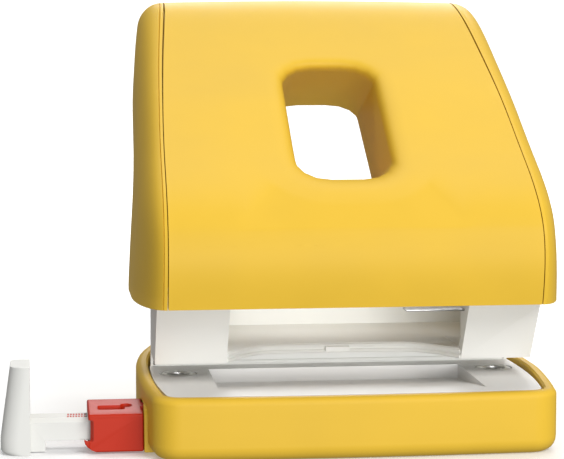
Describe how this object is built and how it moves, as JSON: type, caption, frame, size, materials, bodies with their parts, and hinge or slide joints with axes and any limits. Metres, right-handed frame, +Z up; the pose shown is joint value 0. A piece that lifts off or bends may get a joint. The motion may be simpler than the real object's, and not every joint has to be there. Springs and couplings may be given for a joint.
{
  "type": "desk hole punch",
  "caption": "Compact desk hole punch with a broad slanted lever handle, finger opening, slide-out paper guide, press-in latch and lift-off chip tray.",
  "frame": {"origin": "on the flat underside of the base, straight below the middle of the two dies", "axes": "+X to the user's right along the row of dies, +Y away from the user towards the back, +Z up"},
  "size_m": [0.1356, 0.116, 0.1079],
  "materials": {
    "yellow_plastic": "satin",
    "white_metal": "satin enamel",
    "white_plastic": "satin",
    "red_plastic": "semi-gloss",
    "steel": "ground",
    "spring_steel": "drawn wire",
    "zinc_steel": "zinc plated",
    "rubber": "matte",
    "slide_plastic": "smooth"
  },
  "bodies": {
    "base": {"base_tray": "yellow_plastic", "anti_slip_pads": "rubber", "tray_hinge_pin": "zinc_steel"},
    "frame": {"die_plate": "white_metal", "die_bushing_left": "steel", "die_bushing_right": "steel", "frame_rivets": "zinc_steel", "punch_frame": "white_metal", "pin_guide_left": "steel", "pin_guide_right": "steel", "pivot_axle": "zinc_steel", "axle_clips": "spring_steel", "return_spring_left": "spring_steel", "return_spring_right": "spring_steel"},
    "handle": {"handle_shell": "yellow_plastic", "side_cap_left": "yellow_plastic", "side_cap_right": "yellow_plastic", "back_cover": "yellow_plastic", "handle_screws": "zinc_steel", "lever_plate": "zinc_steel", "press_pads": "slide_plastic"},
    "pin_left": {"punch_pin_left": "steel", "pin_clip_left": "spring_steel"},
    "pin_right": {"punch_pin_right": "steel", "pin_clip_right": "spring_steel"},
    "guide": {"guide_bar": "white_plastic"},
    "latch": {"guide_latch": "red_plastic"}
  },
  "joints": [
    {"name": "tray_open", "type": "hinge", "parent": "base", "child": "frame", "pos_m": [0, 0.06, 0.0108], "axis": [-1, 0, 0], "range_deg": [0, 30]},
    {"name": "handle_press", "type": "hinge", "parent": "frame", "child": "handle", "pos_m": [0, -0.024, 0.046], "axis": [-1, 0, 0], "range_deg": [0, 19], "stiffness_Nm_per_rad": 1.5, "springref_deg": -17.19},
    {"name": "pin_left_slide", "type": "slide", "parent": "frame", "child": "pin_left", "axis": [0, 0, -1], "range_m": [0, 0.0085], "deforming": ["return_spring_left"]},
    {"name": "pin_right_slide", "type": "slide", "parent": "frame", "child": "pin_right", "axis": [0, 0, -1], "range_m": [0, 0.0085], "deforming": ["return_spring_right"]},
    {"name": "guide_slide", "type": "slide", "parent": "base", "child": "guide", "axis": [-1, 0, 0], "range_m": [-0.008, 0.07]},
    {"name": "latch_press", "type": "slide", "parent": "base", "child": "latch", "axis": [0, 1, 0], "range_m": [0, 0.0018], "stiffness_N_per_m": 400, "springref_m": -0.003}
  ],
  "couplings": [
    {"joint": "pin_left_slide", "follows": "handle_press", "m_per_rad": 0.0254},
    {"joint": "pin_right_slide", "follows": "handle_press", "m_per_rad": 0.0254}
  ]
}
